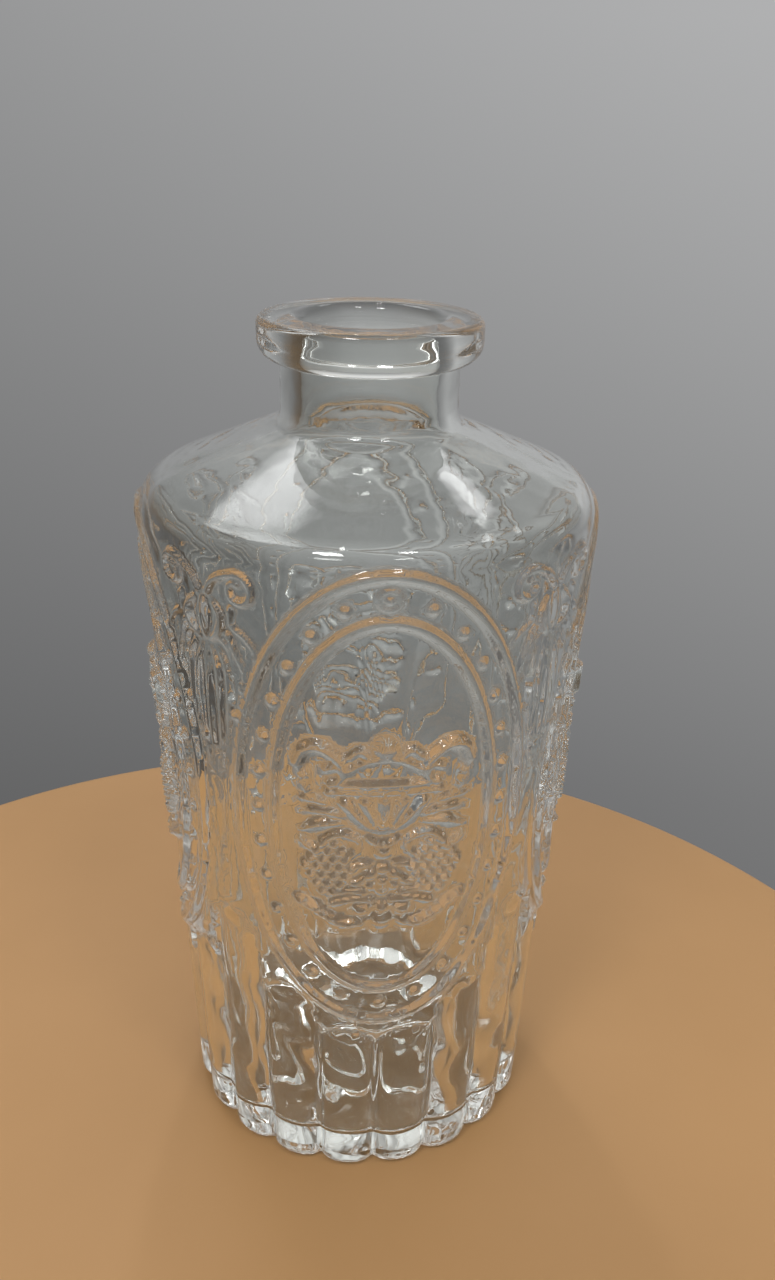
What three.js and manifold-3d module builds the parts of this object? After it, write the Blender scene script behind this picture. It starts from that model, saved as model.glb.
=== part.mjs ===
// A clear moulded-glass bottle: ring lip, short neck, sloping shoulder and a tapered body.
// Four oval medallions with an urn in each stand round the body, with scroll sprays between them
// and a ring of reeds round the foot.
// Millimetres, +Z up. It stands on z = 0 with its axis on Z, and the front medallion faces -Y.

import * as THREE from 'three';
import { mergeVertices } from 'three/addons/utils/BufferGeometryUtils.js';
import Module from 'manifold-3d';

const wasm = await Module();
wasm.setup();

// Outer form, as the corners of the profile before they are rounded
const FOOT_RADIUS = 35.5;
const SHOULDER_RADIUS = 41.1;
const BODY_HEIGHT = 133.2;
const SHOULDER_RISE = 11;
const SHOULDER_ROUNDING = 6;
const NECK_RADIUS = 15.7;
const NECK_HEIGHT = 10.4;
const NECK_ROUNDING = 2.4;
const LIP_RADIUS = 19.6;
const LIP_HEIGHT = 7.4;
const LIP_TOP_ROUNDING = 1.4;
const LIP_UNDER_ROUNDING = 3.4;

// Hollow
const WALL = 3.2;
const FLOOR = 6.4;
const FLOOR_ROUNDING = 3;
const BORE_RADIUS = 12;
const MOUTH_ROUNDING = 2;

// Foot: rounded heel, flat bearing ring and the shallow hollow pushed up under the floor
const HEEL_ROUNDING = 2.6;
const PUSH_UP_RADIUS = 25;
const PUSH_UP_SLOPE = 9;
const PUSH_UP_DEPTH = 1.6;

// Reeds: convex flutes with arched tops that stop short of the medallions
const REEDS = 20;
const REED_NOTCH = 2.1;
const REED_TALL_TOP = 59;
const REED_CLEARANCE = 3;
const REED_ARCH = 3.6;
const REED_TALL_ARCH = 8;
const REED_ROLL = 2.2;
const REED_GROOVE = 0.9;
const REED_GROOVE_WIDTH = 1.1;

// Relief seated on the wall
const SEAT = 0.3;
const LAYER = 0.03;
const LAYERS = 12;
const RIDGE_RISE = 1.2;
const BAND_RISE = 0.6;
const ORNAMENT_RISE = 1.35;
const PEARL_RISE = 1.5;
const PEARL_CROWN_SHARE = 0.55;

// Medallions: an oval band between two ridges, with beads along its middle
const MEDALLIONS = 4;
const OVAL_HEADROOM = 3.3;
const OVAL_HALF_WIDTH = 25.8;
const OVAL_HALF_HEIGHT = 44.4;
const BAND_AT_SIDES = 6.6;
const BAND_AT_ENDS = 7.6;
const RIDGE_WIDTH = 2.2;
const BEADS = 28;
const BEAD_RADIUS = 1.05;
const BOSS_RADIUS = 1.6;

// Urn, measured from the middle of its medallion
const URN_RAIL_HALF = 8.6;
const URN_RAIL_TOP = 7.5;
const URN_RAIL_GAP = 1.4;
const URN_ARCH_TOP = 12.8;
const URN_FINIAL = 2.3;
const URN_LOBES = 5;
const URN_LOBE_PITCH = 3.1;
const URN_BOWL_FOOT = -3.4;
const URN_LEAF_WIDTH = 2.4;
const URN_FLOWER_Z = -12.2;
const URN_FLOWER = 3.4;
const URN_GRAPES_ACROSS = 10;
const URN_GRAPES_Z = -11.2;
const URN_GRAPES = 5;
const URN_GRAPES_SPREAD = 2.4;
const GRAPE_RADIUS = 1.75;
const URN_SWAG_REACH = 14.2;
const URN_SWAG_Z = -17.2;
const URN_SWAG_SAG = 5.2;
const URN_SWAG_WIDTH = 2.6;
const URN_DROP = 4;
const DROP_RADIUS = 2.1;
const URN_LINE = 1.7;
const BOWL_FOOT_SHARE = 0.25;
const BOWL_ROWS = [0, 0.5, 1];
const LEAF_TIP_SHARE = 0.3;

// Curved lines of the urn's right half, as places across and up: the handle leaves the arch,
// leaves grow from the bowl, and scrolls from the stem and the arch
const URN_HANDLE = [[5.6, 8.7], [8.9, 13.3], [11.6, 15], [14, 14.2], [15.1, 11.2], [13.6, 6.2]];
const URN_LEAVES = [
  [[6.4, 3.2], [11.6, 4.1], [14.8, 3.7]],
  [[4, 0.6], [10, 1.9], [14.2, 1.2]],
  [[3, -0.9], [10.6, -0.8], [14.3, -3]],
];
const URN_SCROLLS = [
  [[0, -4.2], [4, -3.4], [7.5, -2.7], [9.8, -4.2], [10.4, -7.4]],
  [[0, -9], [3.8, -8.8], [6.4, -10.2]],
  [[0, -14.8], [5, -14.6], [9.2, -15.8]],
  [[5, 9.9], [8.4, 10.7], [9.8, 10]],
];

// Scroll spray, measured from the shoulder corner down the middle between two medallions
const CURL_ACROSS = 7.5;
const CURL_DROP = 7.8;
const CURL_RADIUS = 3;
const CURL_EYE_RADIUS = 1.2;
const CURL_TURNS = 1.15;
const CURL_BENDS = 6;
const BUD_DROP = 13.6;
const BUD_HALF_HEIGHT = 4.6;
const BUD_WIDTH = 6.8;
const FAN_LEAVES = 5;
const FAN_LEAN_DEGREES = 9.2;
const FAN_LENGTH = 27;
const FAN_SHORTENING = 6.5;
const FAN_BOW = 1.2;
const FAN_LEAF_WIDTH = 2;
const SCROLL_LINE = 1.5;
const TENDRILS = [
  [[3.4, -13.4], [5.9, -14.3], [8.3, -15.9], [10.1, -18.6], [9.6, -21.2]],
  [[1.2, -16.4], [4.9, -17.4], [7.2, -21.4], [7.5, -25.6], [6.2, -29.2]],
];

// Facets
const WALL_COLUMNS_PER_REED = 4;
const TURN_SEGMENTS = 48;
const NECK_SEGMENTS = 36;
const ARC_STEPS = 3;
const INNER_ARC_STEPS = 2;
const OVAL_SEGMENTS = 32;
const PEARL_SEGMENTS = 5;
const SAME_HEIGHT = 1e-6;
const HALFWAY = 0.5;

// Glass
const GLASS_TINT = 0xdfe7e4;
const GLASS_ROUGHNESS = 0.04;
const GLASS_OPACITY = 0.35;

const NECK_Z = BODY_HEIGHT + SHOULDER_RISE;
const LIP_Z = NECK_Z + NECK_HEIGHT;
const TOP_Z = LIP_Z + LIP_HEIGHT;
const OVAL_Z = BODY_HEIGHT - OVAL_HEADROOM - OVAL_HALF_HEIGHT;

const at = (across, up) => new THREE.Vector2(across, up);

// Outline through corner points, each rounded by its own radius
function roundedOutline(corners, steps = ARC_STEPS) {
  const outline = [];
  corners.forEach(({ point, rounding = 0 }, i) => {
    if (!rounding) {
      outline.push(point.clone());
      return;
    }
    const into = point.clone().sub(corners[i - 1].point).normalize();
    const out = corners[i + 1].point.clone().sub(point).normalize();
    const side = Math.sign(into.cross(out));
    const turn = into.angleTo(out);
    const start = point.clone().addScaledVector(into, -rounding * Math.tan(turn / 2));
    const centre = at(-into.y, into.x).multiplyScalar(side * rounding).add(start);
    for (let step = 0; step <= steps; step++) {
      outline.push(start.clone().rotateAround(centre, (side * turn * step) / steps));
    }
  });
  return outline;
}

// Where the line through a and b meets the line through c and d
function crossing(a, b, c, d) {
  const along = b.clone().sub(a);
  const other = d.clone().sub(c);
  const share = c.clone().sub(a).cross(other) / along.cross(other);
  return a.clone().addScaledVector(along, share);
}

// A straight stretch of the outer profile moved into the glass by a wall's thickness
function movedIn(a, b, thickness) {
  const along = b.clone().sub(a).normalize();
  const inward = at(-along.y, along.x).multiplyScalar(thickness);
  return [a.clone().add(inward), b.clone().add(inward)];
}

const footCorner = at(FOOT_RADIUS, 0);
const shoulderCorner = at(SHOULDER_RADIUS, BODY_HEIGHT);
const neckCorner = at(NECK_RADIUS, NECK_Z);
const outside = roundedOutline([
  { point: footCorner },
  { point: shoulderCorner, rounding: SHOULDER_ROUNDING },
  { point: neckCorner, rounding: NECK_ROUNDING },
  { point: at(NECK_RADIUS, LIP_Z) },
]);

const innerWall = movedIn(footCorner, shoulderCorner, WALL);
const innerSlope = movedIn(shoulderCorner, neckCorner, WALL);
const bore = [at(BORE_RADIUS, NECK_Z), at(BORE_RADIUS, LIP_Z)];
const floorLine = [at(0, FLOOR), at(FOOT_RADIUS, FLOOR)];
const inside = roundedOutline([
  { point: at(0, FLOOR) },
  { point: crossing(...floorLine, ...innerWall), rounding: FLOOR_ROUNDING },
  { point: crossing(...innerWall, ...innerSlope), rounding: SHOULDER_ROUNDING - WALL },
  { point: crossing(...innerSlope, ...bore), rounding: NECK_ROUNDING + NECK_RADIUS - BORE_RADIUS },
  { point: at(BORE_RADIUS, LIP_Z) },
], INNER_ARC_STEPS);

// Radius of a profile at a height
function radiusAt(profile, z) {
  const i = profile.findIndex((point, k) => k > 0 && point.y >= z && point.y > profile[k - 1].y);
  const share = (z - profile[i - 1].y) / (profile[i].y - profile[i - 1].y);
  return THREE.MathUtils.lerp(profile[i - 1].x, profile[i].x, share);
}

// The stretch of a profile between two heights, from the bottom up
function stretch(profile, low, high) {
  const between = profile.filter((point) => point.y > low + SAME_HEIGHT && point.y < high - SAME_HEIGHT);
  return [at(radiusAt(profile, low), low), ...between, at(radiusAt(profile, high), high)];
}

// A point over the outer wall: angle from the front, height, and lift above the wall
function onWall(angle, z, lift = 0) {
  const radius = radiusAt(outside, z) + lift;
  return new THREE.Vector3(radius * Math.sin(angle), -radius * Math.cos(angle), z);
}

// Closed surface through rows of points: neighbouring rows are joined, and the ends are joined or capped
function skin(rows, endsMeet) {
  const columns = rows[0].length;
  const points = rows.flat();
  const faces = [];
  const index = (row, column) => (row % rows.length) * columns + (column % columns);
  const bands = endsMeet ? rows.length : rows.length - 1;
  for (let row = 0; row < bands; row++) {
    for (let column = 0; column < columns; column++) {
      const corner = index(row, column);
      const beside = index(row, column + 1);
      const above = index(row + 1, column);
      const opposite = index(row + 1, column + 1);
      faces.push(corner, beside, opposite, corner, opposite, above);
    }
  }
  if (!endsMeet) {
    [0, rows.length - 1].forEach((row) => {
      const middle = new THREE.Vector3();
      rows[row].forEach((point) => middle.addScaledVector(point, 1 / columns));
      const centre = points.push(middle) - 1;
      for (let column = 0; column < columns; column++) {
        const pair = [index(row, column), index(row, column + 1)];
        faces.push(centre, ...(row === 0 ? pair.reverse() : pair));
      }
    });
  }
  const geometry = new THREE.BufferGeometry().setFromPoints(points);
  geometry.setIndex(faces);
  return geometry;
}

// A ring of glass turned from a closed profile that runs up the outside and down the inside
function turned(profile, segments) {
  return new THREE.LatheGeometry([...profile, profile[0]], segments).rotateX(Math.PI / 2);
}

// Joins closed shapes into one solid
function joined(geometries) {
  const solids = geometries.map((geometry) => {
    const bare = geometry.clone();
    bare.deleteAttribute('normal');
    bare.deleteAttribute('uv');
    const merged = mergeVertices(bare);
    const faces = [];
    for (let i = 0; i < merged.index.count; i += 3) {
      const face = [0, 1, 2].map((k) => merged.index.getX(i + k));
      if (new Set(face).size === 3) faces.push(...face);
    }
    const vertProperties = merged.attributes.position.array;
    const triVerts = Uint32Array.from(faces);
    return new wasm.Manifold(new wasm.Mesh({ numProp: 3, vertProperties, triVerts }));
  });
  const mesh = solids.reduce((whole, solid) => whole.add(solid)).getMesh();
  const geometry = new THREE.BufferGeometry();
  geometry.setAttribute('position', new THREE.BufferAttribute(mesh.vertProperties, 3));
  geometry.setIndex(new THREE.BufferAttribute(mesh.triVerts, 1));
  return geometry;
}

// Reeds round the foot
const columnAngle = (column) => (2 * Math.PI * column) / (REEDS * WALL_COLUMNS_PER_REED);
const columns = Array.from({ length: REEDS * WALL_COLUMNS_PER_REED }, (_, column) => column);
const reedAcross = (column) => (2 * (column % WALL_COLUMNS_PER_REED)) / WALL_COLUMNS_PER_REED - 1;
const notchDepth = (across) => REED_NOTCH * across ** 2;

// Angle from the nearest medallion's middle
function fromMedallion(angle) {
  const pitch = (2 * Math.PI) / MEDALLIONS;
  return Math.abs(angle - pitch * Math.round(angle / pitch));
}

// Height that a medallion leaves for the reeds at an angle from its middle, up to the tall reeds
function reedCeiling(angle) {
  const share = (angle * radiusAt(outside, OVAL_Z)) / OVAL_HALF_WIDTH;
  if (share >= 1) return REED_TALL_TOP;
  const edge = OVAL_Z - RIDGE_WIDTH / 2 - OVAL_HALF_HEIGHT * Math.sqrt(1 - share ** 2);
  return Math.min(REED_TALL_TOP, edge - REED_CLEARANCE);
}

// A reed's top clears the medallion a quarter of the reed's width in from its nearer side
const reedPitch = (2 * Math.PI) / REEDS;
const reedTop = (reed) => reedCeiling(fromMedallion((reed + HALFWAY) * reedPitch) - reedPitch / 4);
const notchTop = (notch) => Math.min(reedTop(notch - 1), reedTop(notch)) - REED_ARCH;

// Height of a reed's arched top along a column of the wall
function archHeight(column) {
  const reed = Math.floor(column / WALL_COLUMNS_PER_REED);
  const across = reedAcross(column);
  const notch = notchTop(across <= 0 ? reed : reed + 1);
  if (across === -1) return notch;
  const top = reedTop(reed);
  const spring = Math.max(notch, top - REED_TALL_ARCH);
  return spring + (top - spring) * Math.sqrt(1 - across ** 2);
}

// Ring of wall points: height and depth below the wall line for each column
function wallRing(height, depth) {
  return columns.map((column) => onWall(columnAngle(column), height(column), -depth(reedAcross(column))));
}

function circleRing(radius, z) {
  return columns.map((column) => {
    const angle = columnAngle(column);
    return new THREE.Vector3(radius * Math.sin(angle), -radius * Math.cos(angle), z);
  });
}

const wallTop = outside[1].y;
const neckStart = outside[outside.length - 2].y;

function bodyWall() {
  const outer = [
    wallRing(() => FLOOR, notchDepth),
    wallRing((column) => archHeight(column) - REED_ROLL, notchDepth),
    wallRing(archHeight, (across) => Math.max(REED_GROOVE, notchDepth(across))),
    wallRing((column) => archHeight(column) + REED_GROOVE_WIDTH, () => 0),
    wallRing(() => wallTop, () => 0),
  ];
  const inner = stretch(inside, FLOOR, wallTop).map((point) => circleRing(point.x, point.y));
  return skin([...outer, ...inner.reverse()], true);
}

function base() {
  const heel = Array.from({ length: ARC_STEPS + 1 }, (_, step) => {
    const angle = (Math.PI / 2) * (step / ARC_STEPS);
    const inset = HEEL_ROUNDING * (1 - Math.sin(angle));
    const height = HEEL_ROUNDING * (1 - Math.cos(angle));
    return wallRing(() => height, (across) => notchDepth(across) + inset);
  });
  return skin([
    circleRing(PUSH_UP_RADIUS - PUSH_UP_SLOPE, PUSH_UP_DEPTH),
    circleRing(PUSH_UP_RADIUS, 0),
    ...heel,
    wallRing(() => FLOOR, notchDepth),
  ], false);
}

function shoulder() {
  const outer = stretch(outside, wallTop, neckStart);
  const inner = stretch(inside, wallTop, neckStart);
  return turned([...outer, ...inner.reverse()], TURN_SEGMENTS);
}

function neck() {
  const outer = stretch(outside, neckStart, LIP_Z);
  const inner = stretch(inside, neckStart, LIP_Z);
  return turned([...outer, ...inner.reverse()], NECK_SEGMENTS);
}

function lipRing() {
  const profile = roundedOutline([
    { point: at(BORE_RADIUS, LIP_Z) },
    { point: at(LIP_RADIUS, LIP_Z), rounding: LIP_UNDER_ROUNDING },
    { point: at(LIP_RADIUS, TOP_Z), rounding: LIP_TOP_ROUNDING },
    { point: at(BORE_RADIUS, TOP_Z), rounding: MOUTH_ROUNDING },
    { point: at(BORE_RADIUS, LIP_Z) },
  ]);
  return turned(profile.slice(0, -1), NECK_SEGMENTS);
}

// A place on the wall in front, from distances across and up from an ornament's middle
function fromFlat(middleZ, flat, lift) {
  const z = middleZ + flat.y;
  return onWall(flat.x / radiusAt(outside, z), z, lift);
}

// Width along a leaf: narrow at both ends and full in the middle
const leafShape = (share) => LEAF_TIP_SHARE + (1 - LEAF_TIP_SHARE) * Math.sin(Math.PI * share);

// Width along a tendril: full at its root and narrow at its tip
const tendrilShape = (share) => 1 - (1 - LEAF_TIP_SHARE) * share;

// Raised lines and beads of one ornament, seated a hair apart in height so that no two neighbours share a face
class Relief {
  constructor(middleZ) {
    this.middleZ = middleZ;
    this.pieces = [];
  }

  get foot() {
    return SEAT + LAYER * (this.pieces.length % LAYERS);
  }

  // A ridge along a smooth curve
  line(points, width, shape = () => 1) {
    const { foot } = this;
    const steps = points.length + 1;
    const curve = new THREE.SplineCurve(points);
    const rows = [];
    for (let step = 0; step <= steps; step++) {
      const share = step / steps;
      const along = curve.getTangent(share);
      const half = (width * shape(share)) / 2;
      const crest = foot + (ORNAMENT_RISE - foot) * shape(share);
      const section = [[half, foot], [0, crest], [-half, foot]];
      rows.push(section.map(([offset, lift]) => {
        const flat = at(-along.y, along.x).multiplyScalar(offset).add(curve.getPoint(share));
        return fromFlat(this.middleZ, flat, lift);
      }));
    }
    this.pieces.push(skin(rows, false));
  }

  // The same ridge to the right and to the left of the middle
  pair(places, width, shape) {
    for (const side of [-1, 1]) {
      this.line(places.map(([across, up]) => at(side * across, up)), width, shape);
    }
  }

  // A bowl of upright lobes that narrows towards its foot
  lobes(count, pitch, low, high) {
    const { foot } = this;
    const valley = (foot + ORNAMENT_RISE) / 2;
    const rows = BOWL_ROWS.map((share) => {
      const half = (count * pitch * (BOWL_FOOT_SHARE + (1 - BOWL_FOOT_SHARE) * Math.sqrt(share))) / 2;
      const front = Array.from({ length: 2 * count + 1 }, (_, i) => {
        const inner = i > 0 && i < 2 * count;
        return [half * (i / count - 1), inner ? (i % 2 ? ORNAMENT_RISE : valley) : foot];
      });
      const section = [...front, [0, foot]];
      const up = THREE.MathUtils.lerp(low, high, share);
      return section.map(([across, lift]) => fromFlat(this.middleZ, at(across, up), lift));
    });
    this.pieces.push(skin(rows, false));
  }

  // A round bead
  bead(flat, radius, foot = this.foot) {
    const rise = PEARL_RISE - foot;
    const profile = [at(0, 0), at(radius, 0), at(PEARL_CROWN_SHARE * radius, rise), at(0, rise)];
    const dome = new THREE.LatheGeometry(profile, PEARL_SEGMENTS);
    const place = fromFlat(this.middleZ, flat, foot);
    const outward = new THREE.Vector3(place.x, place.y, 0).normalize();
    const turn = new THREE.Quaternion().setFromUnitVectors(new THREE.Vector3(0, 1, 0), outward);
    this.pieces.push(dome.applyQuaternion(turn).translate(place.x, place.y, place.z));
  }

  // Beads in a ring about one in the middle
  cluster(middle, count, spread, radius) {
    this.bead(middle, radius);
    for (let i = 1; i < count; i++) {
      const turn = (2 * Math.PI * i) / (count - 1);
      this.bead(at(spread * Math.cos(turn), spread * Math.sin(turn)).add(middle), radius);
    }
  }

  solid() {
    return joined(this.pieces);
  }
}

function medallionFrame() {
  const half = RIDGE_WIDTH / 2;
  const quarter = RIDGE_WIDTH / 4;
  // Each corner of the section: its share of the way to the inner ridge, its inset there, and its lift
  const section = [
    [1, half, SEAT],
    [1, quarter, RIDGE_RISE],
    [1, -quarter, RIDGE_RISE],
    [1, -half, BAND_RISE],
    [0, half, BAND_RISE],
    [0, quarter, RIDGE_RISE],
    [0, -quarter, RIDGE_RISE],
    [0, -half, SEAT],
    [HALFWAY, 0, SEAT],
  ];
  const rows = Array.from({ length: OVAL_SEGMENTS }, (_, step) => {
    const angle = (2 * Math.PI * step) / OVAL_SEGMENTS;
    return section.map(([share, inset, lift]) => {
      const across = (OVAL_HALF_WIDTH - share * BAND_AT_SIDES - inset) * Math.cos(angle);
      const up = (OVAL_HALF_HEIGHT - share * BAND_AT_ENDS - inset) * Math.sin(angle);
      return fromFlat(OVAL_Z, at(across, up), lift);
    });
  });
  const relief = new Relief(OVAL_Z);
  relief.pieces.push(skin(rows, true));
  const top = Math.PI / 2;
  const beadLine = new THREE.EllipseCurve(
    0, 0, OVAL_HALF_WIDTH - BAND_AT_SIDES / 2, OVAL_HALF_HEIGHT - BAND_AT_ENDS / 2, top, top + 2 * Math.PI);
  beadLine.getSpacedPoints(BEADS).slice(0, -1).forEach((flat, i) => {
    relief.bead(flat, i === 0 ? BOSS_RADIUS : BEAD_RADIUS, (SEAT + BAND_RISE) / 2);
  });
  return relief.solid();
}

function urn() {
  const relief = new Relief(OVAL_Z);
  const railLow = URN_RAIL_TOP - URN_RAIL_GAP;
  relief.lobes(URN_LOBES, URN_LOBE_PITCH, URN_BOWL_FOOT, railLow);
  for (const up of [URN_RAIL_TOP, railLow]) {
    relief.line([at(-URN_RAIL_HALF, up), at(0, up), at(URN_RAIL_HALF, up)], URN_LINE);
  }
  const archEnd = URN_RAIL_HALF - URN_LINE;
  relief.line([at(-archEnd, URN_RAIL_TOP), at(0, URN_ARCH_TOP), at(archEnd, URN_RAIL_TOP)], URN_LINE);
  relief.line([at(0, URN_BOWL_FOOT + URN_LINE), at(0, URN_SWAG_Z)], 2 * URN_LINE);
  relief.pair(URN_HANDLE, URN_LINE);
  URN_LEAVES.forEach((leaf) => relief.pair(leaf, URN_LEAF_WIDTH, leafShape));
  URN_SCROLLS.forEach((scroll) => relief.pair(scroll, URN_LINE));
  const swag = [
    at(-URN_GRAPES_ACROSS, URN_GRAPES_Z),
    at(-URN_SWAG_REACH, URN_SWAG_Z),
    at(-URN_SWAG_REACH / 2, URN_SWAG_Z - URN_SWAG_SAG),
    at(0, URN_SWAG_Z),
    at(URN_SWAG_REACH / 2, URN_SWAG_Z - URN_SWAG_SAG),
    at(URN_SWAG_REACH, URN_SWAG_Z),
    at(URN_GRAPES_ACROSS, URN_GRAPES_Z),
  ];
  relief.line(swag, URN_SWAG_WIDTH);
  relief.bead(at(0, URN_SWAG_Z - URN_DROP), DROP_RADIUS);
  relief.line([at(0, URN_SWAG_Z), at(0, URN_SWAG_Z - URN_DROP)], URN_LINE);
  relief.bead(at(0, URN_ARCH_TOP + URN_FINIAL / 2), URN_FINIAL);
  relief.bead(at(0, URN_FLOWER_Z), URN_FLOWER);
  for (const side of [-1, 1]) {
    relief.cluster(at(side * URN_GRAPES_ACROSS, URN_GRAPES_Z), URN_GRAPES, URN_GRAPES_SPREAD, GRAPE_RADIUS);
  }
  return relief.solid();
}

function scrollSpray() {
  const relief = new Relief(BODY_HEIGHT);
  const budTop = BUD_HALF_HEIGHT - BUD_DROP;
  const budFoot = -BUD_HALF_HEIGHT - BUD_DROP;
  relief.line([at(0, budTop), at(0, -BUD_DROP), at(0, budFoot)], BUD_WIDTH, leafShape);
  for (const side of [-1, 1]) {
    const curl = [at(0, budFoot), at(side * BUD_WIDTH / 2, -BUD_DROP)];
    for (let bend = 0; bend <= CURL_BENDS; bend++) {
      const share = bend / CURL_BENDS;
      const turn = Math.PI - 2 * Math.PI * CURL_TURNS * share;
      const radius = THREE.MathUtils.lerp(CURL_RADIUS, CURL_EYE_RADIUS, share);
      curl.push(at(side * (CURL_ACROSS + radius * Math.cos(turn)), radius * Math.sin(turn) - CURL_DROP));
    }
    relief.line(curl, SCROLL_LINE);
  }
  TENDRILS.forEach((tendril) => relief.pair(tendril, SCROLL_LINE, tendrilShape));
  for (let leaf = 0; leaf < FAN_LEAVES; leaf++) {
    const place = leaf - (FAN_LEAVES - 1) / 2;
    const length = FAN_LENGTH - FAN_SHORTENING * Math.abs(place);
    const lean = THREE.MathUtils.degToRad(FAN_LEAN_DEGREES) * place;
    const root = at(0, budFoot + SCROLL_LINE);
    const tip = at(length * Math.sin(lean), root.y - length * Math.cos(lean));
    const bow = at(FAN_BOW * place, 0).add(root.clone().lerp(tip, HALFWAY));
    relief.line([root, bow, tip], FAN_LEAF_WIDTH, leafShape);
  }
  return relief.solid();
}

const bottle = new THREE.Group();

// Each piece has its own clear glass, and is turned about the bottle's axis to its place
function addPiece(name, geometry, facing = 0) {
  const glass = new THREE.MeshStandardMaterial({ color: GLASS_TINT, metalness: 0 });
  glass.roughness = GLASS_ROUGHNESS;
  glass.transparent = true;
  glass.opacity = GLASS_OPACITY;
  const mesh = new THREE.Mesh(geometry, glass);
  mesh.name = name;
  mesh.rotation.z = facing;
  bottle.add(mesh);
}

addPiece('base', base());
addPiece('body_wall', bodyWall());
addPiece('shoulder', shoulder());
addPiece('neck', neck());
addPiece('lip_ring', lipRing());

const frameShape = medallionFrame();
const urnShape = urn();
const sprayShape = scrollSpray();
const sides = ['front', 'right', 'back', 'left'];
const corners = ['front_right', 'back_right', 'back_left', 'front_left'];
const sidePitch = (2 * Math.PI) / MEDALLIONS;
sides.forEach((side, i) => {
  addPiece(`medallion_frame_${side}`, frameShape, i * sidePitch);
  addPiece(`urn_${side}`, urnShape, i * sidePitch);
  addPiece(`scroll_spray_${corners[i]}`, sprayShape, (i + HALFWAY) * sidePitch);
});

export default bottle;
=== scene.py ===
# A clear moulded-glass bottle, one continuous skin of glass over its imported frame.
# Sizes are millimetres, turned into metres as points go into a mesh. The front medallion faces -Y.
import math

import bpy
import numpy as np
from mathutils import Matrix, Vector


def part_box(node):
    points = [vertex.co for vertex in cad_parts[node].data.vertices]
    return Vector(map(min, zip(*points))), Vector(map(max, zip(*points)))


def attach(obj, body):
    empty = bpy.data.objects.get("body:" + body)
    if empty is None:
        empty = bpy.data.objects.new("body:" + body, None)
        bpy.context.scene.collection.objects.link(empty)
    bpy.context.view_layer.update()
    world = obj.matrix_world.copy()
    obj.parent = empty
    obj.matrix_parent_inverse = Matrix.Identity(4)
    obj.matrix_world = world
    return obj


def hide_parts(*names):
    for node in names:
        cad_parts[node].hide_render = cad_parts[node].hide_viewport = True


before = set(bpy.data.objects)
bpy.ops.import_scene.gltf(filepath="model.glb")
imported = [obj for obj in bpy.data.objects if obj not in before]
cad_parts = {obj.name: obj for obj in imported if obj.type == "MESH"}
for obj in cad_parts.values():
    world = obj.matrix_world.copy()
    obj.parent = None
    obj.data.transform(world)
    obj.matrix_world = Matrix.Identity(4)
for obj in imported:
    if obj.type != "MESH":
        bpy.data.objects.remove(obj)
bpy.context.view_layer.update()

MM = 0.001


def lowest(node):
    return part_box(node)[0] / MM


def highest(node):
    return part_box(node)[1] / MM


# Outer form
FOOT_RADIUS = 35.5
SHOULDER_RADIUS = 41.1
BODY_HEIGHT = 133.2
SHOULDER_ROUNDING = 6
SHOULDER_RISE = 11
NECK_RADIUS = 15.7
NECK_ROUNDING = 2.4
LIP_Z = lowest("lip_ring").z
TOP_Z = highest("lip_ring").z
LIP_RADIUS = highest("lip_ring").x
LIP_TOP_ROUNDING = 1.4
LIP_UNDER_ROUNDING = 3.4
LIP_NECK_ROUNDING = 0.5
HEEL_ROUNDING = 2.6

# Stepped hollow under the foot, with its corners as (radius, height)
PUSH_UP_RADIUS = 27.5
PUSH_UP_STEPS = ((20.8, 1.9), (18, 0.2), (12, 1.9), (9.6, 0.3), (3.6, 2), (1.2, 0.5))
PUSH_UP_ROUNDING = 0.6

# Hollow, with faint rings on its floor
WALL = 3.2
FLOOR = lowest("body_wall").z
FLOOR_ROUNDING = 3
FLOOR_RINGS = 0.3
RING_PITCH = 8.5
RINGS_END = 23
BORE_RADIUS = 12
MOUTH_ROUNDING = 2
FACING_IN = -0.1

# Waves of the blown wall, each a rate along x, y and z in turns per metre, and a depth
WAVES = (
    ((33, 21, 6), 0.22),
    ((-25, 43, -8), 0.18),
    ((67, -30, 7), 0.15),
    ((-36, -60, 7), 0.15),
    ((60, 105, -6), 0.09),
    ((-112, 62, 8), 0.1),
    ((140, 35, 5), 0.09),
)
FOOT_WAVES = (
    ((80, 30, 55), 0.2),
    ((-45, 85, -70), 0.17),
)
FOOT_WAVES_TOP = 50
WAVE_FADE = 20
WAVE_CALM = 0.15

# Reeds round the foot
REEDS = 20
REED_NOTCH = 2.1
REED_ROUNDNESS = 2.8
REED_TALL_TOP = 59
REED_CLEARANCE = 3
REED_ARCH = 3.6
REED_TALL_ARCH = 8
REED_ROLL = 2.4
REED_GROOVE = 0.9
REED_GROOVE_WIDTH = 1.6
REED_WEDGE = 2.4
STRAIGHT_REED_Z = 31

# Medallions
MEDALLIONS = 4
OVAL_Z = 85.5
OVAL_OUTER = (26.0, 44.7)
OVAL_BEADS = (22.1, 40.8)
OVAL_INNER = (19.4, 37.0)
RIDGE_WIDTH = 2.4
RIDGE_RISE = 0.95
BEADS = 28
BEAD_RADIUS = 1.1
BEAD_RISE = 0.95
BOSS_RADIUS = 1.0
BOSS_RING = 1.65
URN_RISE = 1.3
HEAP_REACH = 4

# Mesh, whose faces are probed in several directions by steps of a cell
COLUMNS = 140
ARC_DEGREES = 15
PROBES = ((1, 0), (0, 1), (0.7, 0.7), (0.7, -0.7), (0.5, 0), (0, 0.5))
RELIEF_TOLERANCES = (0.035, 0.06)
COARSE_SHARE = 2.5


# Profile of the glass


def unit(step):
    return step / np.hypot(*step)


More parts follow.
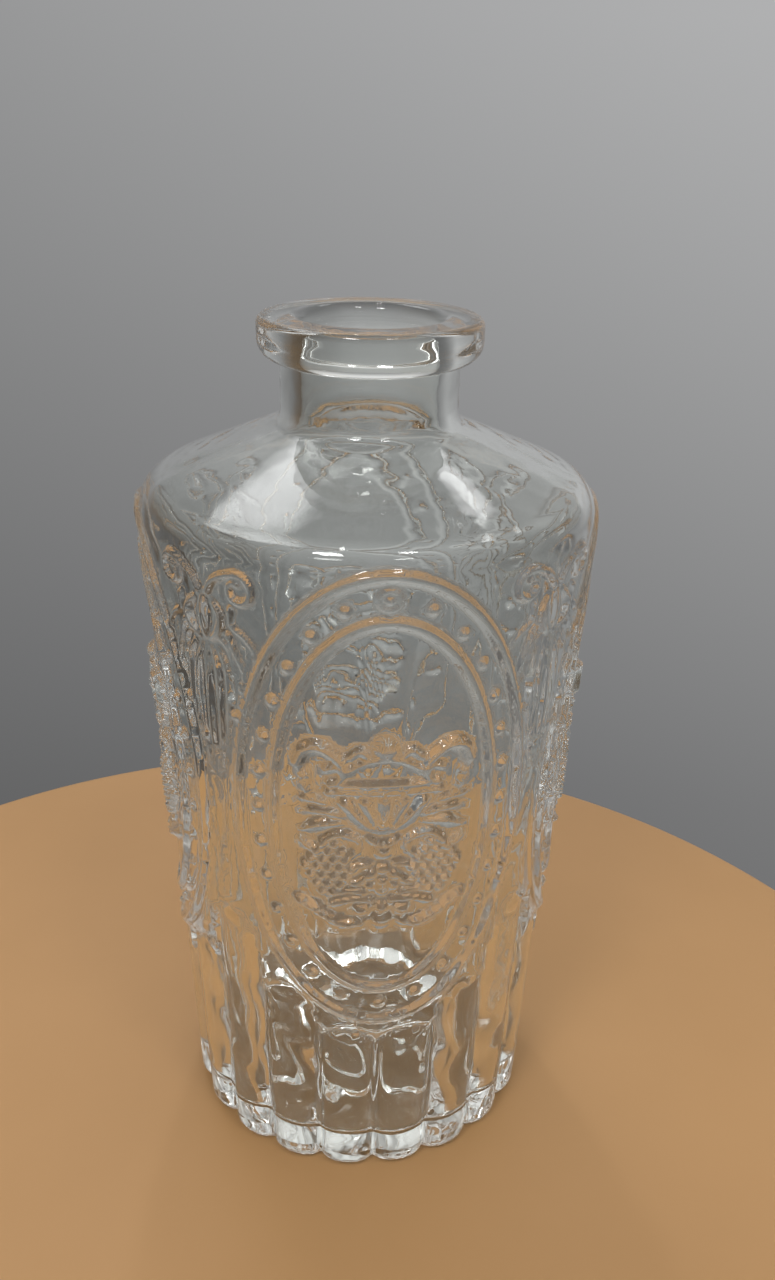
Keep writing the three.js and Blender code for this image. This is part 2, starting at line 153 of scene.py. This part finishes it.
# Outline through corners, each a (radius, height), its rounding and the spacing of the run up to it
def traced(corners):
    outline = []
    for i, (corner, rounding, spacing) in enumerate(corners):
        bend = [np.array(corner, float)]
        if rounding:
            into = unit(bend[0] - np.array(corners[i - 1][0], float))
            out = unit(np.array(corners[i + 1][0], float) - bend[0])
            turn = math.atan2(into[0] * out[1] - into[1] * out[0], into @ out)
            start = bend[0] - into * rounding * math.tan(abs(turn) / 2)
            middle = start + np.array([-into[1], into[0]]) * math.copysign(rounding, turn)
            steps = max(2, round(abs(math.degrees(turn)) / ARC_DEGREES))
            bend = []
            for step in range(steps + 1):
                angle = turn * step / steps
                spoke = start - middle
                bend.append(middle + np.array([
                    spoke[0] * math.cos(angle) - spoke[1] * math.sin(angle),
                    spoke[0] * math.sin(angle) + spoke[1] * math.cos(angle),
                ]))
        if outline:
            run = bend[0] - outline[-1]
            pieces = max(1, round(np.hypot(*run) / spacing))
            outline += [outline[-1] + run * k / pieces for k in range(1, pieces)]
        outline += bend
    return outline


# The run from a to b moved into the glass
def moved_in(a, b, thickness):
    a, b = np.array(a, float), np.array(b, float)
    along = unit(b - a)
    inward = np.array([-along[1], along[0]]) * thickness
    return a + inward, b + inward


def crossing(a, b, c, d):
    along, other = b - a, d - c
    share = ((c - a)[0] * other[1] - (c - a)[1] * other[0]) / (along[0] * other[1] - along[1] * other[0])
    return a + along * share


NECK_Z = BODY_HEIGHT + SHOULDER_RISE
foot_corner = (FOOT_RADIUS, 0)
shoulder_corner = (SHOULDER_RADIUS, BODY_HEIGHT)
neck_corner = (NECK_RADIUS, NECK_Z)
inner_wall = moved_in(foot_corner, shoulder_corner, WALL)
inner_slope = moved_in(shoulder_corner, neck_corner, WALL)
floor_line = np.array([0, FLOOR]), np.array([FOOT_RADIUS, FLOOR])
bore_line = np.array([BORE_RADIUS, NECK_Z]), np.array([BORE_RADIUS, TOP_Z])


# Radius of the plain outer wall at a height
def wall_radius(z):
    return FOOT_RADIUS + (SHOULDER_RADIUS - FOOT_RADIUS) * np.asarray(z) / BODY_HEIGHT


# Up the hollow, over the lip, down the outside and in under the foot
profile = traced([
    ((0, FLOOR), 0, 1),
    (crossing(*floor_line, *inner_wall), FLOOR_ROUNDING, 1.7),
    (crossing(*inner_wall, *inner_slope), SHOULDER_ROUNDING - WALL, 2.7),
    (crossing(*inner_slope, *bore_line), NECK_ROUNDING + NECK_RADIUS - BORE_RADIUS, 4),
    ((BORE_RADIUS, TOP_Z), MOUTH_ROUNDING, 3),
    ((LIP_RADIUS, TOP_Z), LIP_TOP_ROUNDING, 1.5),
    ((LIP_RADIUS, LIP_Z), LIP_UNDER_ROUNDING, 1),
    ((NECK_RADIUS, LIP_Z), LIP_NECK_ROUNDING, 1),
    (neck_corner, NECK_ROUNDING, 1.6),
    (shoulder_corner, SHOULDER_ROUNDING, 4),
    ((wall_radius(STRAIGHT_REED_Z), STRAIGHT_REED_Z), 0, 1.75),
    (foot_corner, HEEL_ROUNDING, 7),
    ((PUSH_UP_RADIUS, 0), PUSH_UP_ROUNDING, 4),
    *((step, PUSH_UP_ROUNDING, 4) for step in PUSH_UP_STEPS),
    ((0, PUSH_UP_STEPS[-1][1]), 0, 4),
])


# Raised ornament on a flat field that is the same left and right of its middle


def smooth_line(points, steps=8):
    points = [np.array(point, float) for point in points]
    ends = [2 * points[0] - points[1], *points, 2 * points[-1] - points[-2]]
    line = []
    for a, b, c, d in zip(ends, ends[1:], ends[2:], ends[3:]):
        for t in np.linspace(0, 1, steps, endpoint=False):
            line.append(0.5 * (2 * b + (c - a) * t + (2 * a - 5 * b + 4 * c - d) * t ** 2
                               + (3 * b - a - 3 * c + d) * t ** 3))
    return np.array([*line, points[-1]])


def even(share):
    return np.ones_like(share)


def leaf(share):
    return 0.25 + 0.75 * np.sin(np.pi * share)


def tail(share):
    return 1 - 0.65 * share


class Ornament:
    def __init__(self):
        self.ridges = []
        self.rounds = []

    def ridge(self, points, width, rise, shape=even):
        line = smooth_line(points)
        shares = shape(np.linspace(0, 1, len(line)))
        self.ridges.append((line, width / 2 * shares, rise * shares))

    def bead(self, place, radius, rise):
        self.rounds.append((place, 0, radius, rise))

    def ring(self, place, radius, width, rise):
        self.rounds.append((place, radius, width / 2, rise))

    def height(self, across, up):
        across = np.abs(across)
        height = np.zeros_like(across)
        for line, halves, rises in self.ridges:
            reach = halves.max()
            low, high = line.min(0) - reach, line.max(0) + reach
            near = np.flatnonzero((across > low[0]) & (across < high[0]) & (up > low[1]) & (up < high[1]))
            if not near.size:
                continue
            x, y = across[near], up[near]
            best = height[near]
            for k in range(len(line) - 1):
                step = line[k + 1] - line[k]
                share = ((x - line[k][0]) * step[0] + (y - line[k][1]) * step[1]) / (step @ step)
                share = np.clip(share, 0, 1)
                away = (x - line[k][0] - share * step[0]) ** 2 + (y - line[k][1] - share * step[1]) ** 2
                half = halves[k] + (halves[k + 1] - halves[k]) * share
                rise = rises[k] + (rises[k + 1] - rises[k]) * share
                best = np.maximum(best, rise * (1 - away / half ** 2))
            height[near] = best
        for place, radius, half, rise in self.rounds:
            away = np.hypot(across - place[0], up - place[1]) - radius
            height = np.maximum(height, rise * (1 - (away / half) ** 2))
        return height


# Places along an oval, the same distance apart, from its top
def spaced_on_oval(half_width, half_height, count):
    turn = np.linspace(0, 2 * np.pi, 2000)
    line = np.stack([half_width * np.sin(turn), half_height * np.cos(turn)], 1)
    gone = np.concatenate([[0], np.cumsum(np.hypot(*np.diff(line, axis=0).T))])
    wanted = np.linspace(0, gone[-1], count, endpoint=False)
    return np.stack([np.interp(wanted, gone, line[:, 0]), np.interp(wanted, gone, line[:, 1])], 1)


# Beads packed in an oval heap
def heap(ornament, middle, half_width, half_height, pitch, radius, rise):
    reach = range(-HEAP_REACH, HEAP_REACH + 1)
    for row in reach:
        for place in reach:
            across = (place + 0.5 * (row % 2)) * pitch
            up = row * pitch * math.sin(math.radians(60))
            if (across / half_width) ** 2 + (up / half_height) ** 2 <= 1:
                ornament.bead((middle[0] + across, middle[1] + up), radius, rise)


# Urn with its handles, leaves, grapes and garland, by places off the middle of the oval
def urn_ornament():
    urn = Ornament()
    urn.bead((0, 14.2), 2.5, 1.5)
    urn.ridge([(2.8, 13.0), (4.2, 14.0), (5.8, 12.6)], 2.0, 1.0)
    urn.ridge([(0, 12.6), (1.5, 12.5), (3.6, 11.8), (6.2, 10.0), (7.6, 8.0)], 1.7, 1.15)
    urn.ridge([(0, 7.4), (8.6, 7.4)], 1.4, 1.0)
    urn.ridge([(0, 5.8), (9.2, 5.8)], 1.5, 1.0)
    urn.bead((9.2, 5.8), 1.1, 1.2)
    urn.bead((9.0, 7.4), 0.9, 1.1)
    urn.ridge([(6.6, 10.2), (7.7, 12.4), (10.6, 14.4), (13.2, 13.8), (14.5, 11.0)], 2.6, 1.4)
    urn.ridge([(6.9, 9.8), (8.4, 10.6), (9.8, 10.0)], 1.5, 0.9)
    urn.ridge([(14.7, 11.2), (13.6, 8.4), (13.0, 5.6)], 1.6, 0.8)
    for up in (10.2, 8.6, 7.0):
        urn.bead((14.4 - 0.28 * (10.6 - up), up), 0.9, 1.0)
    urn.ridge([(0, 4.2), (0, 1.2), (0, -2.4)], 2.6, 1.1, tail)
    urn.ridge([(3.1, 4.0), (2.0, 1.0), (0.9, -2.4)], 2.6, 1.1, tail)
    urn.ridge([(6.4, 3.6), (4.2, 0.6), (1.7, -2.2)], 2.6, 1.1, tail)
    urn.ridge([(8.8, 3.0), (11.6, 4.1), (14.8, 3.7)], 2.0, 1.0, leaf)
    urn.ridge([(6.4, 0.5), (10.0, 1.9), (14.2, 1.2)], 2.4, 1.1, leaf)
    urn.ridge([(6.9, -0.7), (10.6, -0.8), (14.3, -3.0)], 2.4, 1.1, leaf)
    urn.ridge([(10.4, -7.2), (12.9, -5.6), (14.5, -3.6)], 2.0, 0.9, leaf)
    urn.ridge([(0, -4.6), (1.4, -4.3), (2.3, -3.4)], 1.3, 1.0)
    urn.bead((0, -6.4), 1.7, 1.2)
    urn.ridge([(4.0, -3.9), (5.6, -2.9), (7.5, -2.7), (9.6, -3.9), (10.5, -5.9)], 1.5, 1.0)
    urn.ridge([(4.0, -3.9), (4.4, -6.2), (6.6, -7.6)], 1.5, 0.9)
    heap(urn, (9.2, -9.8), 4.7, 6.0, 1.95, 1.15, 1.3)
    urn.ridge([(2.2, -8.8), (4.0, -9.0), (5.6, -10.2)], 1.4, 0.9)
    urn.ridge([(2.6, -11.4), (4.4, -13.0), (6.2, -12.4)], 1.4, 0.9)
    urn.bead((0, -12.2), 1.3, 1.3)
    for petal in range(6):
        turn = math.radians(60 * petal + 30)
        urn.bead((2.3 * math.cos(turn), 2.3 * math.sin(turn) - 12.2), 1.4, 1.15)
    urn.ridge([(2.8, -15.0), (6.0, -14.6), (9.2, -15.8)], 1.4, 0.9)
    urn.ridge([(1.6, -16.6), (5.0, -16.6), (8.8, -17.8)], 1.4, 0.8)
    garland = [(14.5, -17.6), (11.8, -18.9), (9.6, -20.5), (6.4, -22.1), (3.4, -21.3)]
    urn.ridge(garland, 2.2, 0.9)
    for place in smooth_line(garland)[2::4]:
        urn.bead(place, 1.1, 1.15)
    urn.bead((3.6, -18.9), 1.7, 1.15)
    urn.bead((0, -18.3), 1.5, 1.2)
    urn.bead((0, -21.2), 2.2, 1.1)
    return urn


# Beads between the ridges of an oval, with a ringed boss at the top
def oval_frame():
    oval = Ornament()
    places = spaced_on_oval(*OVAL_BEADS, BEADS)
    oval.bead(places[0], BOSS_RADIUS, BEAD_RISE)
    oval.ring(places[0], BOSS_RING, 0.9, 0.7)
    for place in places[1:BEADS // 2 + 1]:
        oval.bead(place, BEAD_RADIUS, BEAD_RISE)
    return oval


# Scrolls over a leaf fan, by places off the top of the wall between two medallions
def scroll_spray():
    spray = Ornament()
    curl = [(1.0, -9.4), (2.6, -7.0)]
    for bend in range(9):
        turn = math.radians(120 - 48 * bend)
        radius = 2.9 - 0.19 * bend
        curl.append((7.5 + radius * math.cos(turn), radius * math.sin(turn) - 7.8))
    spray.ridge(curl, 1.5, 0.95)
    spray.bead(curl[-1], 1.0, 1.1)
    spray.ridge([(5.7, -11.5), (5.9, -14.3), (8.3, -15.9), (10.1, -18.6), (9.6, -21.2)], 1.5, 0.9, tail)
    spray.ridge([(4.9, -16.0), (6.7, -20.1), (7.7, -22.6), (7.2, -25.8), (6.2, -29.2)], 1.4, 0.8, tail)
    spray.ridge([(0, -9.4), (0, -13.7), (0, -18.4)], 2.8, 1.25, leaf)
    spray.ridge([(1.2, -10.2), (3.8, -13.2), (3.0, -16.2), (0.8, -18.2)], 2.3, 1.2, leaf)
    spray.ridge([(0, -18.8), (0, -31.2), (0, -43.7)], 2.2, 0.9, leaf)
    spray.ridge([(0.7, -18.6), (2.3, -23.7), (2.3, -33.2), (1.2, -43.2)], 1.8, 0.85, leaf)
    spray.ridge([(1.4, -17.8), (4.2, -22.2), (4.2, -30.2), (2.8, -39.2)], 1.7, 0.8, leaf)
    spray.ridge([(2.6, -16.4), (4.9, -18.8), (5.4, -23.2)], 1.5, 0.8, tail)
    spray.bead((5.3, -31.0), 1.0, 0.8)
    return spray


urn_relief = urn_ornament()
frame_beads = oval_frame()
spray_relief = scroll_spray()


# Signed distance from an oval's line, near the line
def from_oval(across, up, oval):
    value = (across / oval[0]) ** 2 + (up / oval[1]) ** 2 - 1
    slope = 2 * np.hypot(across / oval[0] ** 2, up / oval[1] ** 2)
    return value / np.maximum(slope, 1e-6)


# Angle from the nearest of several even places round the axis, the first at an offset
def folded(angle, count, offset=0.0):
    pitch = 2 * np.pi / count
    return angle - offset - pitch * np.round((angle - offset) / pitch)


REED_PITCH = 2 * np.pi / REEDS


# Height at which the medallions stop a reed whose near side lies at this angle from their middles
def reed_ceiling(angle):
    share = np.minimum(angle * wall_radius(OVAL_Z) / OVAL_OUTER[0], 1)
    edge = OVAL_Z - RIDGE_WIDTH / 2 - OVAL_OUTER[1] * np.sqrt(1 - share ** 2)
    return np.minimum(edge - REED_CLEARANCE, REED_TALL_TOP)


def reed_top(reed):
    middle = (reed + 0.5) * REED_PITCH
    return reed_ceiling(np.abs(folded(middle, MEDALLIONS)) - REED_PITCH / 4)


# Share of a groove's depth that is left at a distance from its line
def groove(distance, width=REED_GROOVE_WIDTH):
    return np.clip(1 - distance / width, 0, 1) ** 2


# Depth of the reeds, round ribs with arched tops and free sides over a lower neighbour
def reed_depth(angle, z):
    place = angle / REED_PITCH
    reed = np.floor(place)
    across = 2 * (place - reed) - 1
    top = reed_top(reed)
    neighbour_top = reed_top(reed + np.where(across < 0, -1, 1))
    notch_top = np.minimum(top, neighbour_top) - REED_ARCH
    spring = np.maximum(notch_top, top - REED_TALL_ARCH)
    neighbour_spring = np.maximum(notch_top, neighbour_top - REED_TALL_ARCH)
    arch = spring + (top - spring) * np.sqrt(1 - across ** 2)
    rib = REED_NOTCH * np.abs(across) ** REED_ROUNDNESS
    on_reed = np.maximum(rib, REED_GROOVE * groove(arch - z, REED_ROLL))
    over = np.maximum(rib, REED_GROOVE) * groove(z - arch, REED_GROOVE_WIDTH + REED_WEDGE * across ** 6)
    gap = (1 - np.abs(across)) * REED_PITCH / 2 * wall_radius(z)
    beside = REED_NOTCH * groove(gap) * groove(np.maximum(z - neighbour_spring, 0))
    return np.where(z < arch, on_reed, np.maximum(over, beside))


# Height of the moulded surface over the plain wall
def relief(angle, z):
    radius = wall_radius(z)
    across = folded(angle, MEDALLIONS) * radius
    up = z - OVAL_Z
    height = np.maximum(URN_RISE * urn_relief.height(across, up), frame_beads.height(across, up))
    for oval in (OVAL_OUTER, OVAL_INNER):
        away = from_oval(across, up, oval) / (RIDGE_WIDTH / 2)
        height = np.maximum(height, RIDGE_RISE * (1 - away ** 2))
    corner = folded(angle, MEDALLIONS, np.pi / MEDALLIONS) * radius
    height = np.maximum(height, spray_relief.height(corner, z - BODY_HEIGHT))
    return height - reed_depth(angle, z)


# Mesh


def deselect_everything():
    bpy.ops.object.select_all(action="DESELECT")


# Turns a profile round the axis into a closed skin
def turned(name, profile):
    deselect_everything()
    bpy.ops.mesh.primitive_plane_add(size=MM, location=(0, 0, 0))
    skin = bpy.context.object
    skin.name = name
    points = [Vector((0, -point[0] * MM, point[1] * MM)) for point in profile]
    bpy.ops.object.mode_set(mode="EDIT")
    bpy.ops.mesh.merge(type="CENTER")
    bpy.ops.transform.translate(value=points[0])
    for start, end in zip(points, points[1:]):
        bpy.ops.mesh.extrude_region_move(TRANSFORM_OT_translate={"value": end - start})
    bpy.ops.mesh.select_all(action="SELECT")
    bpy.ops.mesh.spin(steps=COLUMNS, angle=2 * math.pi, center=(0, 0, 0), axis=(0, 0, 1))
    bpy.ops.mesh.select_all(action="SELECT")
    bpy.ops.mesh.remove_doubles(threshold=0.01 * MM)
    bpy.ops.mesh.normals_make_consistent(inside=False)
    bpy.ops.object.mode_set(mode="OBJECT")
    return skin


def read_points(collection, field):
    values = np.empty(len(collection) * 3)
    collection.foreach_get(field, values)
    return values.reshape(-1, 3) / MM


# Angle from the front, height and distance from the axis
def around(points):
    return np.arctan2(points[:, 0], -points[:, 1]), points[:, 2], np.hypot(points[:, 0], points[:, 1])


def on_wall(z, radius):
    return (radius > wall_radius(z) - WALL / 2) & (z > HEEL_ROUNDING) & (z < BODY_HEIGHT)


# Splits faces of the wall whose relief bends by more than a tolerance, a coarser one on urns and reeds
def split_for_relief(skin, cell, tolerance):
    mesh = skin.data
    angle, z, radius = around(read_points(mesh.polygons, "center"))
    wall = np.flatnonzero(on_wall(z, radius))
    angle, z = angle[wall], z[wall]
    step = cell / wall_radius(z)
    middle = relief(angle, z)
    bend = np.zeros_like(middle)
    for turn, rise in PROBES:
        ahead = relief(angle + turn * step, z + rise * cell)
        behind = relief(angle - turn * step, z - rise * cell)
        bend = np.maximum(bend, np.abs(ahead + behind - 2 * middle) / 8)
    across = folded(angle, MEDALLIONS) * wall_radius(z)
    up = z - OVAL_Z
    urn = from_oval(across, up, OVAL_INNER) < -RIDGE_WIDTH
    outside = from_oval(across, up, OVAL_OUTER) > RIDGE_WIDTH
    reeds = outside & (z < REED_TALL_TOP + REED_CLEARANCE)
    allowed = tolerance * np.where(urn | reeds, COARSE_SHARE, 1)
    picked = np.zeros(len(mesh.polygons), bool)
    picked[wall[bend > allowed]] = True
    bpy.ops.object.mode_set(mode="EDIT")
    bpy.ops.mesh.select_mode(type="FACE")
    bpy.ops.mesh.select_all(action="DESELECT")
    bpy.ops.object.mode_set(mode="OBJECT")
    mesh.polygons.foreach_set("select", picked)
    bpy.ops.object.mode_set(mode="EDIT")
    bpy.ops.mesh.subdivide(number_cuts=1, ngon=False)
    bpy.ops.object.mode_set(mode="OBJECT")


# Depth by which the blown hollow wavers, calm from the shoulder up, still in the lip and choppy in the foot
def waver(points):
    def below(top, least=0):
        return np.clip((top - points[:, 2]) / WAVE_FADE, least, 1)

    def swell(waves):
        return sum(deep * np.sin(2 * np.pi * points @ rate * MM) for rate, deep in waves)

    wall = swell(WAVES) * below(BODY_HEIGHT, WAVE_CALM) * below(LIP_Z)
    return wall + swell(FOOT_WAVES) * below(FOOT_WAVES_TOP)


# Presses the relief into the wall and the reeds into the heel, rings the floor and lets the hollow waver
def press(skin):
    points = read_points(skin.data.vertices, "co")
    normals = read_points(skin.data.vertices, "normal") * MM
    angle, z, radius = around(points)
    facing = normals[:, 0] * np.sin(angle) - normals[:, 1] * np.cos(angle)
    floor_corner = (z < FLOOR + FLOOR_ROUNDING) & (radius < FOOT_RADIUS - WALL)
    hollow = (z > FLOOR / 2) & ((facing < FACING_IN) | floor_corner)
    points[hollow] += normals[hollow] * waver(points[hollow])[:, None]
    fade = np.clip(2 * (RINGS_END - radius) / RING_PITCH, 0, 1)
    rings = -fade * np.cos(2 * np.pi * radius / RING_PITCH)
    floor = hollow & (z < FLOOR + FLOOR_ROUNDING / 2)
    points[floor, 2] += FLOOR_RINGS * rings[floor]
    wall = on_wall(z, radius)
    foot = (z <= HEEL_ROUNDING) & (radius > PUSH_UP_RADIUS)
    share = (radius[foot] - PUSH_UP_RADIUS) / (FOOT_RADIUS - PUSH_UP_RADIUS)
    radius[foot] -= share * reed_depth(angle[foot], np.full(foot.sum(), HEEL_ROUNDING))
    radius[wall] += relief(angle[wall], z[wall])
    outer = wall | foot
    points[outer, 0] = radius[outer] * np.sin(angle[outer])
    points[outer, 1] = -radius[outer] * np.cos(angle[outer])
    skin.data.vertices.foreach_set("co", (points * MM).ravel())
    skin.data.update()


bottle = turned("moulded_bottle", profile)
cell = 2 * math.pi * wall_radius(OVAL_Z) / COLUMNS
for tolerance in RELIEF_TOLERANCES:
    split_for_relief(bottle, cell, tolerance)
    cell /= 2
press(bottle)
deselect_everything()
bottle.select_set(True)
bpy.context.view_layer.objects.active = bottle
bpy.ops.object.shade_smooth()
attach(bottle, "root")
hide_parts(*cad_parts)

# Finishes


class Field:
    """A value on its way to a shader: arithmetic on it adds Math nodes."""

    def __init__(self, bench, socket):
        self.bench = bench
        self.socket = socket

    def maths(self, operation, *values):
        return self.bench.node("ShaderNodeMath", {"operation": operation}, dict(enumerate(values)))

    def __add__(self, other):
        return self.maths("ADD", self, other)

    def __mul__(self, other):
        return self.maths("MULTIPLY", self, other)

    def __sub__(self, other):
        return self.maths("SUBTRACT", self, other)

    def __rsub__(self, other):
        return self.maths("SUBTRACT", other, self)

    __radd__ = __add__
    __rmul__ = __mul__


class Bench:
    """The nodes of one finish."""

    def __init__(self, tree):
        self.tree = tree
        tree.nodes.clear()

    def node(self, kind, settings=None, inputs=None, output=0):
        made = self.tree.nodes.new(kind)
        for name, value in (settings or {}).items():
            if name == "stops":
                ramp = made.color_ramp.elements
                while len(ramp) < len(value):
                    ramp.new(0.5)
                for stop, (place, colour) in zip(ramp, value):
                    stop.position = place
                    stop.color = colour
            else:
                setattr(made, name, value)
        for name, value in (inputs or {}).items():
            if isinstance(value, Field):
                self.tree.links.new(value.socket, made.inputs[name])
            else:
                made.inputs[name].default_value = value
        return Field(self, made.outputs[output]) if made.outputs else made


def finish_named(name):
    material = bpy.data.materials.new(name)
    material.use_nodes = True
    return material, Bench(material.node_tree)


def clear_glass():
    material, bench = finish_named("clear_glass")
    place = bench.node("ShaderNodeTexCoord", output="Object")
    ripple = bench.node("ShaderNodeTexNoise", {}, {"Vector": place, "Scale": 90.0, "Detail": 2.0})
    grain = bench.node("ShaderNodeTexNoise", {}, {"Vector": place, "Scale": 900.0, "Detail": 2.0})
    smear = bench.node("ShaderNodeTexNoise", {}, {"Vector": place, "Scale": 35.0, "Detail": 3.0})
    height = ripple + 0.02 * grain
    bump = bench.node("ShaderNodeBump", {}, {"Height": height, "Strength": 0.05, "Distance": 0.004})
    glass = bench.node("ShaderNodeBsdfPrincipled", {}, {
        "Base Color": (0.965, 0.983, 0.96, 1),
        "Roughness": 0.006 * smear,
        "Normal": bump,
        "Transmission Weight": 1.0,
        "IOR": 1.5,
    })
    bench.node("ShaderNodeOutputMaterial", {}, {"Surface": glass})
    return material


def pale_floor():
    material, bench = finish_named("pale_floor")
    place = bench.node("ShaderNodeTexCoord", output="Object")
    mottle = bench.node("ShaderNodeTexNoise", {}, {"Vector": place, "Scale": 14.0, "Detail": 4.0})
    colour = bench.node("ShaderNodeValToRGB", {
        "stops": [(0.3, (0.57, 0.315, 0.125, 1)), (0.7, (0.61, 0.34, 0.14, 1))],
    }, {"Fac": mottle})
    surface = bench.node("ShaderNodeBsdfPrincipled", {}, {"Base Color": colour, "Roughness": 0.55})
    bench.node("ShaderNodeOutputMaterial", {}, {"Surface": surface})
    return material


bottle.data.materials.clear()
bottle.data.materials.append(clear_glass())

# Stage: a plain pale round floor under a grey studio sky
FLOOR_DISC_RADIUS = 157.6
FLOOR_DISC_MIDDLE = (-18, -28)
FLOOR_DISC_DEPTH = 20
FLOOR_DISC_EDGE = 3
FLOOR_DISC_GAP = 0.1
FLOOR_DISC_SIDES = 160


def floor_disc():
    deselect_everything()
    middle = Vector((*FLOOR_DISC_MIDDLE, -FLOOR_DISC_GAP - FLOOR_DISC_DEPTH / 2)) * MM
    bpy.ops.mesh.primitive_cylinder_add(
        vertices=FLOOR_DISC_SIDES,
        radius=FLOOR_DISC_RADIUS * MM,
        depth=FLOOR_DISC_DEPTH * MM,
        location=middle,
    )
    disc = bpy.context.object
    disc.name = "floor_disc"
    bpy.ops.object.transform_apply(location=True)
    soften = disc.modifiers.new("edge", "BEVEL")
    soften.width = FLOOR_DISC_EDGE * MM
    soften.segments = 3
    bpy.ops.object.modifier_apply(modifier=soften.name)
    bpy.ops.object.shade_smooth_by_angle(angle=math.radians(40))
    disc.data.materials.append(pale_floor())


# Direction at a heading off the far side and an elevation, in degrees
def towards(heading, elevation):
    heading, elevation = math.radians(heading), math.radians(elevation)
    level = math.cos(elevation)
    return Vector((math.sin(heading) * level, math.cos(heading) * level, math.sin(elevation)))


# Grey room, brown on the left and dim on the right, each a patch of heading, elevation, core and edge
BROWN_SIDE = (-80, 10, 15, 55)
DIM_SIDE = (92, 10, 15, 55)
ROOM_TINTS = [
    (0.0, (0.75, 0.54, 0.35, 1)),
    (0.5, (0.985, 0.99, 1, 1)),
    (1.0, (0.25, 0.25, 0.25, 1)),
]

# Greys of the room from its floor to its ceiling, and its light, which leans to the right
ROOM_GREYS = ((0.0, 0.05), (0.24, 0.17), (0.53, 0.40), (1.0, 0.38))
ROOM_LIGHT = 0.9
ROOM_LEAN = 0.55

# Soft glows, each a patch and its radiance
GLOWS = (
    ((-25, 51, 1, 13), 3.2),
    ((35, 49, 1, 5), 4),
    ((180, 45, 20, 85), 0.4),
    ((0, 38, 8, 28), 0.5),
)


def studio_sky():
    world = bpy.data.worlds.new("studio_sky")
    world.use_nodes = True
    bpy.context.scene.world = world
    bench = Bench(world.node_tree)
    look = bench.node("ShaderNodeTexCoord", output="Generated")

    def patch(heading, elevation, core, edge):
        off = bench.node("ShaderNodeVectorMath", {"operation": "DOT_PRODUCT"}, {
            0: look, 1: towards(heading, elevation)}, output="Value")
        return bench.node("ShaderNodeMapRange", {"interpolation_type": "SMOOTHSTEP"}, {
            "Value": off,
            "From Min": math.cos(math.radians(edge)),
            "From Max": math.cos(math.radians(core)),
        })

    rise = bench.node("ShaderNodeSeparateXYZ", {}, {"Vector": look}, output="Z")
    right = bench.node("ShaderNodeSeparateXYZ", {}, {"Vector": look}, output="X")
    greys = [(place, (level, level, level, 1)) for place, level in ROOM_GREYS]
    grey = bench.node("ShaderNodeValToRGB", {"stops": greys}, {"Fac": 0.5 + 0.5 * rise})
    light = grey * (ROOM_LIGHT + ROOM_LEAN * right)
    for place, radiance in GLOWS:
        light = light + radiance * patch(*place)
    side = 0.5 + 0.5 * patch(*DIM_SIDE) - 0.5 * patch(*BROWN_SIDE)
    tint = bench.node("ShaderNodeValToRGB", {"stops": ROOM_TINTS}, {"Fac": side})
    sky = bench.node("ShaderNodeBackground", {}, {"Color": tint, "Strength": light})
    bench.node("ShaderNodeOutputWorld", {}, {"Surface": sky})


# Lamps, each a heading off the far side, an elevation, a size and a radiance
LAMP_DISTANCE = 700
LAMPS = {
    "bulb": (-3, 63, (36, 36), 100),
    "near_left_lamp": (-150, 52, (150, 110), 22),
    "near_right_lamp": (155, 60, (110, 80), 18),
}


# A round lamp that faces the bottle's shoulder
def softbox(name, heading, elevation, size, radiance):
    lamp = bpy.data.lights.new(name, "AREA")
    lamp.shape = "ELLIPSE"
    lamp.size, lamp.size_y = size[0] * MM, size[1] * MM
    area = math.pi / 4 * lamp.size * lamp.size_y
    lamp.energy = radiance * math.pi * area
    box = bpy.data.objects.new(name, lamp)
    bpy.context.scene.collection.objects.link(box)
    away = towards(heading, elevation)
    box.location = (away * LAMP_DISTANCE + Vector((0, 0, BODY_HEIGHT))) * MM
    box.rotation_euler = (-away).to_track_quat("-Z", "Y").to_euler()


# Camera, at the place and with the lens of the photograph
CAMERA_PLACE = (-18.2, -203.9, 196.1)
CAMERA_HEADING = 6.275
CAMERA_PITCH = 24.97
CAMERA_ROLL = 1.4
CAMERA_LENS = 33.0


def camera():
    heading, pitch, roll = map(math.radians, (CAMERA_HEADING, CAMERA_PITCH, CAMERA_ROLL))
    reach = math.cos(pitch)
    forward = Vector((math.sin(heading) * reach, math.cos(heading) * reach, -math.sin(pitch)))
    level = Vector((math.cos(heading), -math.sin(heading), 0))
    upright = level.cross(forward)
    right = level * math.cos(roll) + upright * math.sin(roll)
    up = upright * math.cos(roll) - level * math.sin(roll)
    eye = bpy.data.cameras.new("camera")
    eye.lens = CAMERA_LENS
    eye.sensor_width = 36
    eye.clip_start = 0.01
    holder = bpy.data.objects.new("camera", eye)
    bpy.context.scene.collection.objects.link(holder)
    turn = Matrix((right, up, -forward)).transposed().to_4x4()
    holder.matrix_world = Matrix.Translation(Vector(CAMERA_PLACE) * MM) @ turn
    bpy.context.scene.camera = holder


floor_disc()
studio_sky()
for name, lamp in LAMPS.items():
    softbox(name, *lamp)
camera()

# Bounces enough for light that passes many walls of glass
BOUNCES = 24
scene = bpy.context.scene
scene.view_settings.view_transform = "Standard"
scene.cycles.max_bounces = BOUNCES
scene.cycles.transmission_bounces = BOUNCES
scene.cycles.glossy_bounces = BOUNCES
